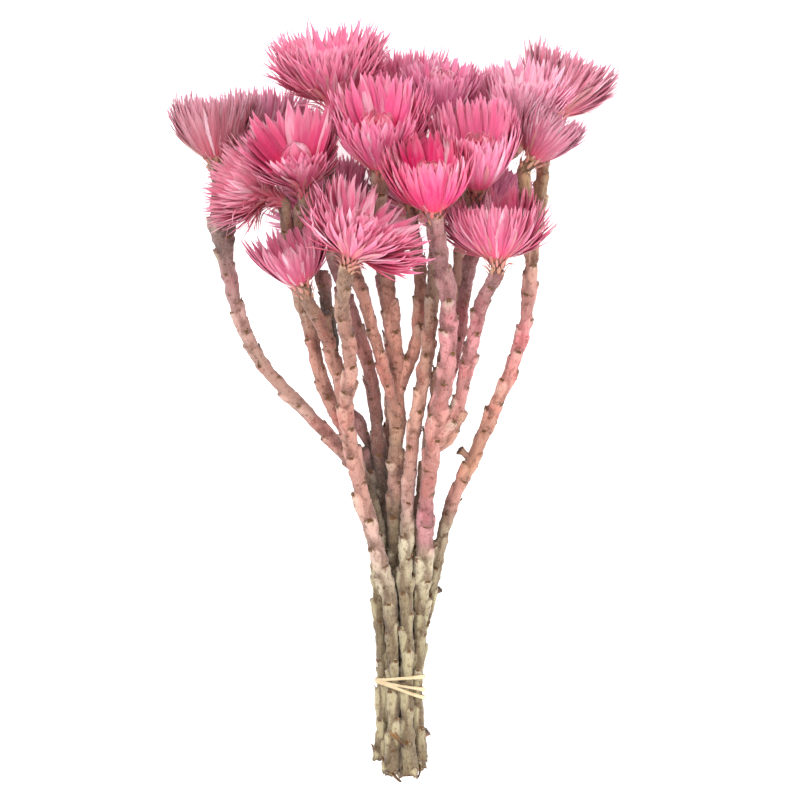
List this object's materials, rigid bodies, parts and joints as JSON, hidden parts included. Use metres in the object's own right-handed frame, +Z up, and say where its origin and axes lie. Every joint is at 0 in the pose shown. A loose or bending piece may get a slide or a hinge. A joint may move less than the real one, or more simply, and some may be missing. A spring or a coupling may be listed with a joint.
{
  "type": "dried strawflower bunch",
  "caption": "Tied bunch of dried pink strawflowers: pointed papery bracts on forking, leaf-scarred woolly stems, bound with raffia and lying on a surface.",
  "frame": {"origin": "middle of the bunch's bounding box, on the surface that it lies on", "axes": "+Z up from the surface, +Y along the bunch from the cut ends towards the heads, +X to the right seen from above with the heads away"},
  "size_m": [0.205, 0.342, 0.1274],
  "materials": {
    "stem": "matt woolly stem, salmon pink above and grey beige below, with brown leaf scars",
    "bract": "silky striated papery bract, pink with pale tips",
    "raffia": "matt straw-coloured raffia strand"
  },
  "bodies": {
    "root": {"stem_1": "stem", "stem_2": "stem", "stem_3": "stem", "stem_4": "stem", "stem_5": "stem", "stem_6": "stem", "stem_7": "stem", "stem_8": "stem", "stem_9": "stem", "bloom_01": "bract", "bloom_02": "bract", "bloom_03": "bract", "bloom_04": "bract", "bloom_05": "bract", "bloom_06": "bract", "bloom_07": "bract", "bloom_08": "bract", "bloom_09": "bract", "bloom_10": "bract", "bloom_11": "bract", "bloom_12": "bract", "bloom_13": "bract", "bloom_14": "bract", "bloom_15": "bract", "bloom_16": "bract", "bloom_17": "bract", "bloom_18": "bract", "bloom_19": "bract", "bloom_20": "bract", "raffia_tie": "raffia"}
  },
  "joints": []
}
